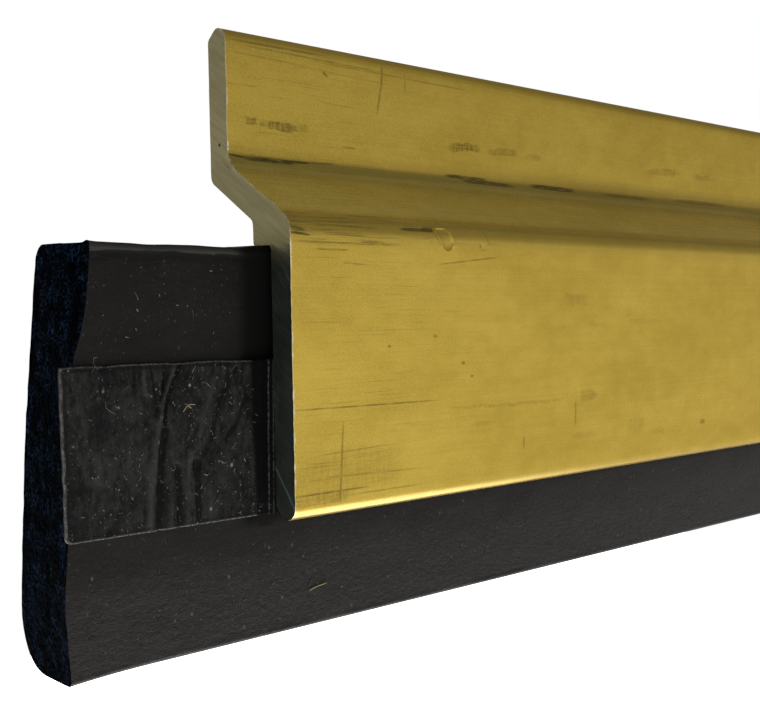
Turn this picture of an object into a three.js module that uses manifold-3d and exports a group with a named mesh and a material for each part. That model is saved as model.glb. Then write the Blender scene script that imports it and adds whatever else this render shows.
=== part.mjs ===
// Door bottom sweep: a jogged aluminium retainer, a sponge rubber seal bonded behind its lower flange
// with double-sided tape, and four pan-head screws in vertical slots of the upper flange.
//
// Millimetres. X runs along the door, the face seen from the room looks along -Y, and Z is up.
// The origin is on the face that lies against the door, half way along, at the height of the screws.

import * as THREE from 'three';
import { mergeVertices } from 'three/addons/utils/BufferGeometryUtils.js';
import Module from 'manifold-3d';

const wasm = await Module();
wasm.setup();

// Retainer: a strip of even wall thickness, jogged forward below the screws
const RETAINER_LENGTH = 914.4;
const RETAINER_HEIGHT = 50.8;
const WALL = 3.175;
const JOG_FORWARD = 10.4;
const JOG_SLOPE = THREE.MathUtils.degToRad(31.5);
const JOG_BELOW_TOP = 14.33;
const LEDGE_BELOW_TOP = 23.2;
const LEDGE_DEPTH = 3.0;
const EDGE_RADIUS = 1.5;
const JOG_RADIUS = 2.0;
const END_OUT_OF_SQUARE = Math.tan(THREE.MathUtils.degToRad(1.2));

// Seal and tape
const SEAL_THICKNESS = 9.525;
const SEAL_HEIGHT = 40.0;
const SEAL_OVERHANG = 22.2;
const SEAL_HEEL_RADIUS = 4.5;
const TAPE_THICKNESS = 0.75;
const TAPE_WIDTH = 16.0;
const BOND_GAP = 0.05;
const SEAL_GAP = 0.3;

// Screws and their slots
const SCREW_COUNT = 4;
const FIRST_SCREW_FROM_END = 127.0;
const SCREW_BELOW_TOP = 8.4;
const SLOT_WIDTH = 4.0;
const SLOT_LENGTH = 7.2;
const SHANK_RADIUS = 1.75;
const SCREW_LENGTH = 19.0;
const POINT_LENGTH = 4.0;
const HEAD_RADIUS = 3.45;
const HEAD_HEIGHT = 2.1;
const HEAD_GAP = 0.2;
const RECESS_DEPTH = 1.3;
const RECESS_SPAN = 3.6;
const RECESS_WIDTH = 0.8;

// Heights and depths that follow from them
const TOP = SCREW_BELOW_TOP;
const BOTTOM = TOP - RETAINER_HEIGHT;
const LEDGE = TOP - LEDGE_BELOW_TOP;
const FLANGE_BACK = -JOG_FORWARD;
const TAPE_BACK = FLANGE_BACK + BOND_GAP + TAPE_THICKNESS;
const SEAL_FRONT = TAPE_BACK + BOND_GAP;
const SEAL_TOP = LEDGE - SEAL_GAP;

const ARC_STEPS = 3;
const ROUND_STEPS = 20;

// A closed outline of straight sides and round corners, from corners [across, up, radius] in order
function roundedShape(corners) {
  const shape = new THREE.Shape();
  corners.forEach(([x, y, radius], i) => {
    const corner = new THREE.Vector2(x, y);
    const before = new THREE.Vector2(...corners.at(i - 1)).sub(corner).normalize();
    const after = new THREE.Vector2(...corners[(i + 1) % corners.length]).sub(corner).normalize();
    const half = Math.acos(before.dot(after)) / 2;
    const start = before.clone().multiplyScalar(radius / Math.tan(half)).add(corner);
    const end = after.clone().multiplyScalar(radius / Math.tan(half)).add(corner);
    const centre = before.clone().add(after).setLength(radius / Math.sin(half)).add(corner);
    const from = start.clone().sub(centre).angle();
    const to = end.clone().sub(centre).angle();
    const clockwise = before.cross(after) > 0;
    if (i === 0) shape.moveTo(start.x, start.y);
    else shape.lineTo(start.x, start.y);
    shape.absarc(centre.x, centre.y, radius, from, to, clockwise);
  });
  return shape;
}

// Extrudes an outline drawn across the strip (depth, height) along X, between two X values
function alongStrip(shape, fromX, toX) {
  const geometry = new THREE.ExtrudeGeometry(shape, {
    depth: toX - fromX,
    bevelEnabled: false,
    curveSegments: ARC_STEPS,
  });
  const across = new THREE.Vector3(0, 1, 0);
  const up = new THREE.Vector3(0, 0, 1);
  const along = new THREE.Vector3(1, 0, 0);
  geometry.applyMatrix4(new THREE.Matrix4().makeBasis(across, up, along));
  return geometry.translate(fromX, 0, 0);
}

function toSolid(geometry) {
  const bare = geometry.clone();
  bare.deleteAttribute('normal');
  bare.deleteAttribute('uv');
  const welded = mergeVertices(bare, 1e-5);
  return new wasm.Manifold(new wasm.Mesh({
    numProp: 3,
    vertProperties: new Float32Array(welded.attributes.position.array),
    triVerts: new Uint32Array(welded.index.array),
  }));
}

function toGeometry(solid) {
  const mesh = solid.getMesh();
  const geometry = new THREE.BufferGeometry();
  geometry.setAttribute('position', new THREE.BufferAttribute(mesh.vertProperties, 3));
  geometry.setIndex(new THREE.BufferAttribute(mesh.triVerts, 1));
  geometry.computeVertexNormals();
  return geometry;
}

// The retainer's section: full-round edges, a sloping jog, and a ledge behind it that caps the seal
function retainerShape() {
  const fall = Math.tan(JOG_SLOPE);
  const upperFront = -WALL;
  const lowerFront = FLANGE_BACK - WALL;
  const jogFront = TOP - JOG_BELOW_TOP;
  const jogBack = jogFront + WALL * fall - WALL / Math.cos(JOG_SLOPE);
  const ledgeBack = FLANGE_BACK + LEDGE_DEPTH;
  return roundedShape([
    [0, TOP, EDGE_RADIUS],
    [upperFront, TOP, EDGE_RADIUS],
    [upperFront, jogFront, JOG_RADIUS],
    [lowerFront, jogFront - JOG_FORWARD * fall, JOG_RADIUS],
    [lowerFront, BOTTOM, EDGE_RADIUS],
    [FLANGE_BACK, BOTTOM, EDGE_RADIUS],
    [FLANGE_BACK, LEDGE, 0.4],
    [ledgeBack, LEDGE, 0.3],
    [ledgeBack, jogBack + ledgeBack * fall, 0.8],
    [0, jogBack, 1.0],
  ]);
}

// A vertical slot through the upper flange: a stadium outline, extruded from front to back
function slotGeometry(x) {
  const radius = SLOT_WIDTH / 2;
  const reach = (SLOT_LENGTH - SLOT_WIDTH) / 2;
  const shape = new THREE.Shape();
  shape.absarc(0, reach, radius, 0, Math.PI, false);
  shape.absarc(0, -reach, radius, Math.PI, 2 * Math.PI, false);
  const geometry = new THREE.ExtrudeGeometry(shape, {
    depth: 3 * WALL,
    bevelEnabled: false,
    curveSegments: ROUND_STEPS / 4,
  });
  return geometry.rotateX(Math.PI / 2).translate(x, WALL, 0);
}

// The left-hand end is sawn slightly out of square, so it slants away towards the bottom
function slantLeftEnd(geometry) {
  const position = geometry.attributes.position;
  for (let i = 0; i < position.count; i++) {
    if (position.getX(i) < 0) {
      position.setX(i, position.getX(i) + (TOP - position.getZ(i)) * END_OUT_OF_SQUARE);
    }
  }
  return geometry;
}

function screwPositions() {
  const first = FIRST_SCREW_FROM_END - RETAINER_LENGTH / 2;
  const spacing = (-2 * first) / (SCREW_COUNT - 1);
  return Array.from({ length: SCREW_COUNT }, (_, i) => first + i * spacing);
}

function retainerGeometry() {
  const half = RETAINER_LENGTH / 2;
  let solid = toSolid(slantLeftEnd(alongStrip(retainerShape(), -half, half)));
  for (const x of screwPositions()) solid = solid.subtract(toSolid(slotGeometry(x)));
  return toGeometry(solid);
}

function sealGeometry() {
  const half = RETAINER_LENGTH / 2 + SEAL_OVERHANG;
  const back = SEAL_FRONT + SEAL_THICKNESS;
  const shape = roundedShape([
    [back, SEAL_TOP, 1.5],
    [SEAL_FRONT, SEAL_TOP, 0.8],
    [SEAL_FRONT, SEAL_TOP - SEAL_HEIGHT, 0.6],
    [back, SEAL_TOP - SEAL_HEIGHT, SEAL_HEEL_RADIUS],
  ]);
  return alongStrip(shape, -half, half);
}

function tapeGeometry() {
  const length = RETAINER_LENGTH + 2 * SEAL_OVERHANG;
  return new THREE.BoxGeometry(length, TAPE_THICKNESS, TAPE_WIDTH)
    .translate(0, TAPE_BACK - TAPE_THICKNESS / 2, BOTTOM + TAPE_WIDTH / 2);
}

// A pan-head screw with its axis on Y: the head's underside at y = 0, the point towards +Y
function screwGeometry() {
  const profile = [
    new THREE.Vector2(0, SCREW_LENGTH),
    new THREE.Vector2(SHANK_RADIUS, SCREW_LENGTH - POINT_LENGTH),
    new THREE.Vector2(SHANK_RADIUS, 0),
    new THREE.Vector2(HEAD_RADIUS, 0),
    new THREE.Vector2(HEAD_RADIUS, -0.45 * HEAD_HEIGHT),
    new THREE.Vector2(0.86 * HEAD_RADIUS, -0.8 * HEAD_HEIGHT),
    new THREE.Vector2(0.55 * HEAD_RADIUS, -HEAD_HEIGHT),
    new THREE.Vector2(0, -HEAD_HEIGHT),
  ].reverse();
  const body = toSolid(new THREE.LatheGeometry(profile, ROUND_STEPS));
  const across = new THREE.BoxGeometry(RECESS_SPAN, 2 * RECESS_DEPTH, RECESS_WIDTH);
  const upright = new THREE.BoxGeometry(RECESS_WIDTH, 2 * RECESS_DEPTH, RECESS_SPAN);
  const recess = toSolid(across).add(toSolid(upright)).translate([0, -HEAD_HEIGHT, 0]);
  return toGeometry(body.subtract(recess));
}

const gold = { color: 0xb0963f, roughness: 0.35, metalness: 1.0 };
const rubber = { color: 0x232221, roughness: 0.85, metalness: 0.0 };
const adhesive = { color: 0x1a1a19, roughness: 0.45, metalness: 0.0 };
const brass = { color: 0xb99a4a, roughness: 0.3, metalness: 1.0 };

function part(name, geometry, look) {
  const mesh = new THREE.Mesh(geometry, new THREE.MeshStandardMaterial(look));
  mesh.name = name;
  return mesh;
}

const sweep = new THREE.Group();
sweep.add(part('retainer', retainerGeometry(), gold));
sweep.add(part('sponge_seal', sealGeometry(), rubber));
sweep.add(part('bonding_tape', tapeGeometry(), adhesive));

const screw = screwGeometry();
screwPositions().forEach((x, i) => {
  const mesh = part(`screw_${i + 1}`, screw, brass);
  mesh.position.set(x, -WALL - HEAD_GAP, 0);
  sweep.add(mesh);
});

export default sweep;
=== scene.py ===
"""Door bottom sweep: a jogged gold-anodised aluminium retainer with a black sponge rubber seal.

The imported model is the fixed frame: every size and place starts from its boxes. Meshes are laid out in
millimetres (along the strip from the retainer's left end, depth, height) and turned into metres when
each piece is made.
"""

import math
from collections import namedtuple

import bmesh
import bpy
import numpy as np
from mathutils import Euler, Matrix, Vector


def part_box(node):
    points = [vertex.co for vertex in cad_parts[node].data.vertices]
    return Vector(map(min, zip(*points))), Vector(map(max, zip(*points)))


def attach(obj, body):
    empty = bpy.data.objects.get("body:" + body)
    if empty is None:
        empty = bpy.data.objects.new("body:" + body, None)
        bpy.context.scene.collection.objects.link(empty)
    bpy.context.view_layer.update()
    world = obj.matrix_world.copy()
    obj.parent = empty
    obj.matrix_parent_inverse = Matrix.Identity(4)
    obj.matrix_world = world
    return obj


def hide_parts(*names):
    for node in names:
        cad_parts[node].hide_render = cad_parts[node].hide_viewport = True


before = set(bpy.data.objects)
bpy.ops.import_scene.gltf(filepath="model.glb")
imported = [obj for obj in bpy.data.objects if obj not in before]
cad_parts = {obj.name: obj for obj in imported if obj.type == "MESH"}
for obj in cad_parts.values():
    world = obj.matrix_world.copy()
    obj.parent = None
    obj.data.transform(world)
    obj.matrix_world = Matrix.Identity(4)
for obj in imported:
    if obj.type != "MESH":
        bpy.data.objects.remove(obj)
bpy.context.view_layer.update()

MM = 0.001


def box_mm(node):
    """A CAD node's lowest and highest corners, in millimetres."""
    low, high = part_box(node)
    return np.array(low) / MM, np.array(high) / MM


retainer_low, retainer_high = box_mm("retainer")
seal_low, seal_high = box_mm("sponge_seal")
tape_low, tape_high = box_mm("bonding_tape")

LEFT_END, RIGHT_END = retainer_low[0], retainer_high[0]
LENGTH = RIGHT_END - LEFT_END
TOP, BOTTOM = retainer_high[2], retainer_low[2]
FRONT = retainer_low[1]
SEAL_TOP, SEAL_BOTTOM = seal_high[2], seal_low[2]
SEAL_FRONT, SEAL_BACK = seal_low[1], seal_high[1]
TAPE_TOP = tape_high[2]
OVERHANG = LEFT_END - seal_low[0]

# The retainer's section, as the CAD has it
WALL = 3.175
JOG_SLOPE = math.radians(31.5)
JOG_BELOW_TOP, LEDGE_BELOW_TOP, LEDGE_DEPTH = 14.33, 23.2, 3.0
FLANGE_BACK = FRONT + WALL
JOG_FALL = math.tan(JOG_SLOPE)
JOG_FRONT = TOP - JOG_BELOW_TOP
JOG_FOOT = JOG_FRONT + FLANGE_BACK * JOG_FALL
JOG_BACK = JOG_FRONT + WALL * JOG_FALL - WALL / math.cos(JOG_SLOPE)
LEDGE = TOP - LEDGE_BELOW_TOP
LEDGE_BACK = FLANGE_BACK + LEDGE_DEPTH
END_SLANT = math.tan(math.radians(1.2))
# How far the real lower edge reaches below the CAD's
FOOT_DROP = 0.5
# How far the jog turns from upright, in degrees
BEND = 58.5
# Cosine and sine of the saw lines' angle on the cut end
SAW_COS, SAW_SIN = 0.5225, 0.853
# How far along the meshes are fine, and where the stations from the two ends meet
DETAILED, MIDDLE = 112.0, 500.0


# ---------------------------------------------------------------- small geometry tools


def arc(y, z, radius, start, end, steps, tall=None):
    """Points of an arc in (depth, height), from one angle to another in degrees; tall makes it oval."""
    angles = np.radians(np.linspace(start, end, steps + 1))
    upright = tall or radius
    return np.column_stack([y + radius * np.cos(angles), z + upright * np.sin(angles)])


def path(*stretches):
    """Joins arcs and, for a number between two arcs, a straight stretch of that many steps."""
    points = [stretches[0][0]]
    for i, stretch in enumerate(stretches):
        if isinstance(stretch, int):
            target = stretches[i + 1][0]
            shares = np.linspace(0, 1, stretch + 1)[1:, None]
            points.extend(points[-1] + (target - points[-1]) * shares)
        else:
            points.extend(stretch[1:])
    return np.array(points)


def value_noise(a, b, seed):
    """Smooth noise from -1 to 1 over two coordinates, with one cell to a unit."""
    table = np.random.default_rng(seed).uniform(-1, 1, (64, 64))
    cell_a, cell_b = np.floor(a).astype(int), np.floor(b).astype(int)
    fade_a, fade_b = a - cell_a, b - cell_b
    fade_a, fade_b = fade_a**2 * (3 - 2 * fade_a), fade_b**2 * (3 - 2 * fade_b)

    def row(step):
        near = table[cell_a % 64, (cell_b + step) % 64]
        far = table[(cell_a + 1) % 64, (cell_b + step) % 64]
        return near * (1 - fade_a) + far * fade_a

    return row(0) * (1 - fade_b) + row(1) * fade_b


def fractal(a, b, seed, octaves=3):
    """Value noise with finer copies of itself laid over it."""
    return sum(value_noise(a * 2**i, b * 2**i, seed + i) / 2**i for i in range(octaves))


def smooth_step(value, low, high):
    share = np.clip((value - low) / (high - low), 0, 1)
    return share * share * (3 - 2 * share)


def ridge(distance, width):
    """A rounded ridge: 1 on the line and 0 beyond its width."""
    return np.clip(1 - (distance / width) ** 2, 0, 1) ** 2


def line_distance(a, b, corners):
    """Distance in the plane from points (a, b) to an open line of corners."""
    best = np.full(np.shape(a), 1e9)
    for (a0, b0), (a1, b1) in zip(corners, corners[1:]):
        da, db = a1 - a0, b1 - b0
        along = np.clip(((a - a0) * da + (b - b0) * db) / (da * da + db * db), 0, 1)
        best = np.minimum(best, np.hypot(a - a0 - along * da, b - b0 - along * db))
    return best


def blurred(value, corners, blur):
    """A line through the corners, read at each value and softened over the blur."""
    at, level = np.array(corners).T
    return np.mean([np.interp(value + shift * blur, at, level) for shift in (-1, -0.5, 0, 0.5, 1)], axis=0)


def steps_between(*marks):
    """Stations from (position, step) pairs: each step is used up to the next position."""
    stations = [marks[0][0]]
    for (start, step), (end, _) in zip(marks, marks[1:]):
        count = max(1, round((end - start) / step))
        stations.extend(np.linspace(start, end, count + 1)[1:])
    return np.array(stations)


def both_ways(length, near, far):
    """Stations along a bar from (position, step) pairs counted from its left end and from its right."""
    left = steps_between(*near, (MIDDLE, 1))
    right = length - steps_between(*far, (length - MIDDLE, 1))[::-1]
    return np.concatenate([left, right[1:]])


def tube_faces(rings, around, first=0):
    """Faces between rings of points, each ring following the last one in the list of points."""
    faces = []
    for ring in range(rings - 1):
        for i in range(around):
            a, b = first + ring * around + i, first + ring * around + (i + 1) % around
            faces.append((a, b, b + around, a + around))
    return faces


def closed_tube(rings, around):
    """Those faces, and one across each end."""
    last = around * (rings - 1)
    return tube_faces(rings, around) + [list(range(around))[::-1], list(range(last, last + around))]


Bar = namedtuple("Bar", "points faces end_faces left right inner")


def bar(front, back, stations, columns):
    """A closed bar with one section all along, and a fine grid across both ends.

    front and back run from the same top point to the same bottom point in as many steps. Gives points
    (along, depth, height), faces, how many of the last faces are on the ends, and masks of each end's
    points and of the points that lie inside an end's outline.
    """
    ring = np.vstack([front, back[-2:0:-1]])
    around, rungs, count = len(ring), len(front) - 1, len(stations)
    sides = [np.column_stack([np.full(around, u), ring]) for u in stations]
    start = np.arange(count - 1)[:, None] * around + np.arange(around)[None, :]
    turn = np.arange(count - 1)[:, None] * around + (np.arange(around) + 1)[None, :] % around
    quads = np.stack([start, turn, turn + around, start + around], axis=-1).reshape(-1, 4)
    made = around * count
    end_faces = []
    for station, first in ((stations[0], 0), (stations[-1], around * (count - 1))):
        grid = np.zeros((rungs + 1, columns + 1), int)
        grid[0], grid[rungs] = first, first + rungs
        for i in range(1, rungs):
            share = np.linspace(0, 1, columns + 1)[1:-1, None]
            inner = front[i] + (back[i] - front[i]) * share
            sides.append(np.column_stack([np.full(len(inner), station), inner]))
            grid[i, 0], grid[i, columns] = first + i, first + around - i
            grid[i, 1:columns] = np.arange(made, made + columns - 1)
            made += columns - 1
        for i in range(rungs):
            for j in range(columns):
                corners = [grid[i, j], grid[i, j + 1], grid[i + 1, j + 1], grid[i + 1, j]]
                kept = [int(c) for c in dict.fromkeys(corners)]
                if len(kept) > 2:
                    end_faces.append(kept if first else kept[::-1])
    points = np.vstack(sides)
    left = points[:, 0] == stations[0]
    right = points[:, 0] == stations[-1]
    inner = np.arange(len(points)) >= around * count
    return Bar(points, quads.tolist() + end_faces, len(end_faces), left, right, inner)


def make_piece(name, points, faces, materials, ends=0, sharp=40.0, weights=None):
    """Makes a mesh object from points in millimetres; the last faces may take the second material.

    weights gives named values to the points, for a material to read.
    """
    mesh = bpy.data.meshes.new(name)
    mesh.from_pydata((np.asarray(points) * MM).tolist(), [], faces)
    for material in materials:
        mesh.materials.append(material)
    if ends:
        indices = np.zeros(len(faces), np.int32)
        indices[-ends:] = 1
        mesh.polygons.foreach_set("material_index", indices)
    for label, values in (weights or {}).items():
        layer = mesh.attributes.new(label, "FLOAT", "POINT")
        layer.data.foreach_set("value", np.asarray(values, np.float32))
    mesh.validate()
    piece = bpy.data.objects.new(name, mesh)
    bpy.context.scene.collection.objects.link(piece)
    face_outwards(mesh)
    mesh.shade_smooth()
    mesh.set_sharp_from_angle(angle=math.radians(sharp))
    return piece


def face_outwards(mesh):
    """Turns every face of a closed mesh outwards."""
    work = bmesh.new()
    work.from_mesh(mesh)
    bmesh.ops.recalc_face_normals(work, faces=work.faces)
    work.to_mesh(mesh)
    work.free()


def cut_away(piece, cutter):
    """Takes the cutter's volume out of the piece, and removes the cutter."""
    modifier = piece.modifiers.new("cut", "BOOLEAN")
    modifier.operation = "DIFFERENCE"
    modifier.solver = "EXACT"
    modifier.object = cutter
    bpy.context.view_layer.update()
    graph = bpy.context.evaluated_depsgraph_get()
    mesh = bpy.data.meshes.new_from_object(piece.evaluated_get(graph))
    piece.modifiers.clear()
    piece.data = mesh
    bpy.data.objects.remove(cutter)


# ---------------------------------------------------------------- material tools


def feed(tree, socket, value):
    """Links a socket to another one, or sets its value."""
    if isinstance(value, bpy.types.NodeSocket):
        tree.links.new(value, socket)
    else:
        socket.default_value = value


def add_node(tree, kind, values=None, **settings):
    """Adds a node with its settings, and feeds its inputs by name or number."""
    node = tree.nodes.new(kind)
    for name, value in settings.items():
        setattr(node, name, value)
    for name, value in (values or {}).items():
        feed(tree, node.inputs[name], value)
    return node


class Recipe:
    """A material's node tree, with short ways to add nodes. Lengths in it are millimetres."""

    def __init__(self, name):
        self.material = bpy.data.materials.new(name)
        self.material.use_nodes = True
        self.tree = self.material.node_tree
        self.shader = self.tree.nodes["Principled BSDF"]
        coordinates = self.node("ShaderNodeTexCoord")
        place = self.node("ShaderNodeMapping", {"Vector": coordinates.outputs["Object"]})
        place.inputs["Scale"].default_value = (1 / MM,) * 3
        place.inputs["Location"].default_value = (-LEFT_END, 0, 0)
        self.place = place.outputs[0]
        self.normal = coordinates.outputs["Normal"]
        self.along, self.depth, self.height = self.parts(self.place)
        self.below = self.math("SUBTRACT", TOP, self.height)

    def node(self, kind, values=None, **settings):
        return add_node(self.tree, kind, values, **settings)

    def set(self, **values):
        """Sets the shader's inputs by name, with _ for a space."""
        for name, value in values.items():
            feed(self.tree, self.shader.inputs[name.replace("_", " ")], value)

    def parts(self, vector):
        return self.node("ShaderNodeSeparateXYZ", {0: vector}).outputs[:]

    def vector(self, x, y, z):
        return self.node("ShaderNodeCombineXYZ", {0: x, 1: y, 2: z}).outputs[0]

    def math(self, operation, a, b=0.0):
        return self.node("ShaderNodeMath", {0: a, 1: b}, operation=operation).outputs[0]

    def across(self, operation, a, b):
        """Arithmetic on two vectors."""
        return self.node("ShaderNodeVectorMath", {0: a, 1: b}, operation=operation).outputs[0]

    def step(self, value, low, high, first=0.0, last=1.0):
        """A smooth step from first to last as value goes from low to high."""
        values = {"Value": value, "From Min": low, "From Max": high, "To Min": first, "To Max": last}
        return self.node("ShaderNodeMapRange", values, interpolation_type="SMOOTHSTEP").outputs[0]

    def fade(self, value, low, high):
        """A smooth step down, from 1 to 0."""
        return self.step(value, low, high, 1.0, 0.0)

    def between(self, share, first, last):
        """A smooth step from first to last as a share goes from 0 to 1."""
        return self.step(share, 0.0, 1.0, first, last)

    def band(self, value, centre, half, soft):
        """1 within half of the centre, and 0 beyond half plus soft."""
        away = self.math("ABSOLUTE", self.math("SUBTRACT", value, centre))
        return self.fade(away, half, half + soft)

    def stretched(self, x, y, z):
        """Coordinates scaled by x, y and z cells per millimetre."""
        return self.node("ShaderNodeMapping", {"Vector": self.place, "Scale": (x, y, z)}).outputs[0]

    def noise(self, vector, scale=1.0, detail=2.0, rough=0.5):
        values = {"Vector": vector, "Scale": scale, "Detail": detail, "Roughness": rough}
        return self.node("ShaderNodeTexNoise", values).outputs[0]

    def cells(self, vector, scale):
        return self.node("ShaderNodeTexVoronoi", {"Vector": vector, "Scale": scale}).outputs["Distance"]

    def mix(self, share, a, b, blend="MIX"):
        values = {0: share, 6: colour(a), 7: colour(b)}
        return self.node("ShaderNodeMix", values, data_type="RGBA", blend_type=blend).outputs[2]

    def shaded(self, share, tint, factor):
        """The tint, multiplied by the factor where share is 1."""
        return self.mix(share, tint, self.mix(1.0, tint, factor, "MULTIPLY"))

    def bump(self, height, distance_mm):
        values = {"Height": height, "Distance": distance_mm * MM, "Strength": 1.0}
        return self.node("ShaderNodeBump", values).outputs[0]

    def chain(self, operation, values):
        result = values[0]
        for value in values[1:]:
            result = self.math(operation, result, value)
        return result

    def total(self, *values):
        return self.chain("ADD", values)

    def times(self, *values):
        return self.chain("MULTIPLY", values)

    def largest(self, *values):
        return self.chain("MAXIMUM", values)


def colour(value):
    """A colour with its alpha, unless it is a socket already."""
    return (*value, 1.0) if isinstance(value, tuple) and len(value) == 3 else value


Mark = namedtuple("Mark", "along below half_length half_height tilt strength", defaults=(0.0, 1.0))


def marks_of(*rows):
    return [Mark(*row) for row in rows]


def marks(recipe, places, stray=0.0):
    """A mask of soft-edged spots, streaks and scratches on a face; stray bends their outlines, in mm."""
    plane = recipe.vector(recipe.along, recipe.below, 0.0)
    if stray:
        bent = recipe.node("ShaderNodeTexNoise", {"Vector": recipe.place, "Scale": 0.7, "Detail": 4.0})
        shift = recipe.across("SUBTRACT", bent.outputs["Color"], (0.5, 0.5, 0.5))
        plane = recipe.across("ADD", plane, recipe.across("MULTIPLY", shift, (5 * stray, stray, 0.0)))
    mask = 0.0
    for mark in places:
        values = {
            "Vector": plane,
            "Location": (mark.along, mark.below, 0),
            "Rotation": (0, 0, math.radians(mark.tilt)),
            "Scale": (mark.half_length, mark.half_height, 1),
        }
        local = recipe.node("ShaderNodeMapping", values, vector_type="TEXTURE").outputs[0]
        square = recipe.across("MULTIPLY", local, local)
        away = recipe.node("ShaderNodeVectorMath", {0: square}, operation="LENGTH").outputs["Value"]
        mask = recipe.math("MAXIMUM", mask, recipe.step(away, 0.4, 1.1, mark.strength, 0.0))
    return mask


# ---------------------------------------------------------------- retainer


# Where the marks lie on the gold face: how far from its left end and below its top, half length, half
# height, tilt in degrees and strength
STAINS = marks_of(
    (1.9, 13.5, 1.7, 0.16, 4.7, 0.9), (5.9, 13.62, 3.7, 0.3), (9.2, 13.5, 2.4, 0.17, -1.5),
    (12.8, 13.36, 2.4, 0.12, -2.0, 0.6), (37.0, 13.25, 4.2, 0.26, 0.5),
    (41.2, 13.68, 5.4, 0.28, 0.5, 0.9), (54.3, 13.45, 5.2, 0.36, 0.5, 0.95),
    (71.5, 13.6, 6.5, 0.3, 0.0, 0.55), (91.5, 13.35, 8.0, 0.35, 0.0, 0.5),
    (1.3, 21.6, 1.3, 0.26, 10.0, 0.8), (1.7, 22.1, 1.5, 0.16, 5.0), (18.2, 21.1, 2.7, 0.22, 0.0, 0.9),
    (20.0, 21.05, 1.0, 0.3), (8.0, 22.9, 8.0, 0.12, 0.0, 0.6), (6.0, 23.6, 2.4, 0.12, 0.0, 0.6),
    (11.6, 22.7, 2.0, 0.14, 0.0, 0.6),
)
SCUFFS = marks_of(
    (3.1, 9.6, 0.8, 0.5, 0.0, 0.8), (7.3, 9.8, 2.7, 0.55, 3.0, 0.95), (10.3, 9.55, 1.0, 0.5, 0.0, 0.4),
    (36.6, 9.45, 3.2, 0.6, -4.0, 0.9), (43.9, 9.45, 2.8, 0.55, -4.0, 0.6),
    (50.2, 9.5, 1.8, 0.5, 0.0, 0.4), (81.0, 9.3, 5.0, 0.6, -4.0, 0.5), (92.3, 9.3, 3.0, 0.5, 0.0, 0.35),
    (47.0, 28.7, 2.8, 0.9, 0.0, 0.32), (51.0, 32.0, 1.8, 0.35, 0.0, 0.22),
    (61.5, 31.7, 4.4, 0.4, 0.0, 0.2), (48.9, 41.0, 1.5, 0.9, 0.0, 0.45),
    (29.2, 43.3, 2.1, 0.4, 0.0, 0.25), (34.0, 41.3, 11.0, 0.22, 0.8, 0.4),
    (59.5, 45.7, 1.8, 1.4, 0.0, 0.3), (48.6, 46.2, 2.8, 0.45, 0.0, 0.28),
    (64.9, 46.8, 1.2, 0.5, 0.0, 0.28), (64.0, 40.8, 7.0, 2.0, 0.0, 0.14), (8.0, 46.6, 8.5, 2.6, 0.0, 0.3),
    (4.0, 49.2, 4.6, 0.8, 0.0, 0.55),
)
SCRATCHES_AND_DENT_SHADE = marks_of(
    (7.0, 1.25, 6.8, 0.13, -0.3, 0.9), (12.0, 1.75, 11.0, 0.1, 0.6, 0.8),
    (25.0, 2.1, 14.0, 0.1, 0.4, 0.7), (5.0, 2.6, 5.0, 0.09, 1.0, 0.6), (16.0, 3.0, 8.0, 0.08, 1.6, 0.5),
    (13.7, 3.25, 0.45, 0.2, 30.0), (22.4, 2.5, 0.2, 1.5, 2.0, 0.9), (22.0, 5.2, 0.18, 2.0, 10.0, 0.8),
    (26.2, 2.6, 0.18, 1.3, -5.0, 0.6), (2.2, 5.87, 2.2, 0.08, 0.0, 0.7),
    (17.3, 11.2, 1.1, 0.13, 2.0, 0.8), (26.5, 24.3, 5.4, 0.11, -6.0, 0.8),
    (9.0, 25.0, 2.0, 0.1, 3.0, 0.6), (10.7, 40.0, 11.5, 0.1, 0.4), (7.2, 45.8, 0.14, 4.6, 3.0, 0.9),
    (5.8, 48.7, 5.5, 0.12), (12.0, 47.3, 7.5, 0.09, 1.5, 0.7), (9.0, 44.6, 5.5, 0.08, -2.0, 0.6),
    (13.0, 49.3, 6.5, 0.09, 0.0, 0.7), (21.0, 32.8, 0.35, 0.2, 20.0), (25.6, 36.0, 0.35, 0.22, 10.0),
    (14.0, 33.8, 0.25, 0.16, 0.0, 0.9), (27.1, 37.6, 0.3, 0.18, 0.0, 0.8),
    (46.5, 43.2, 0.18, 1.8, 0.0, 0.7), (36.4, 46.1, 0.2, 0.8, 0.0, 0.7),
    # (21.35, 21.95) and (22.5, 20.35) are painted shade along the dent's lower left and upper right edges.
    (76.2, 46.4, 0.7, 0.36, 0.0, 0.8), (21.35, 21.95, 1.1, 0.07, 52.0, 0.8),
    (22.5, 20.35, 0.8, 0.07, 30.0, 0.5), (28.4, 22.5, 0.12, 0.35, -12.0),
    (29.6, 21.6, 0.1, 0.8, -25.0, 0.7),
)


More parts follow.
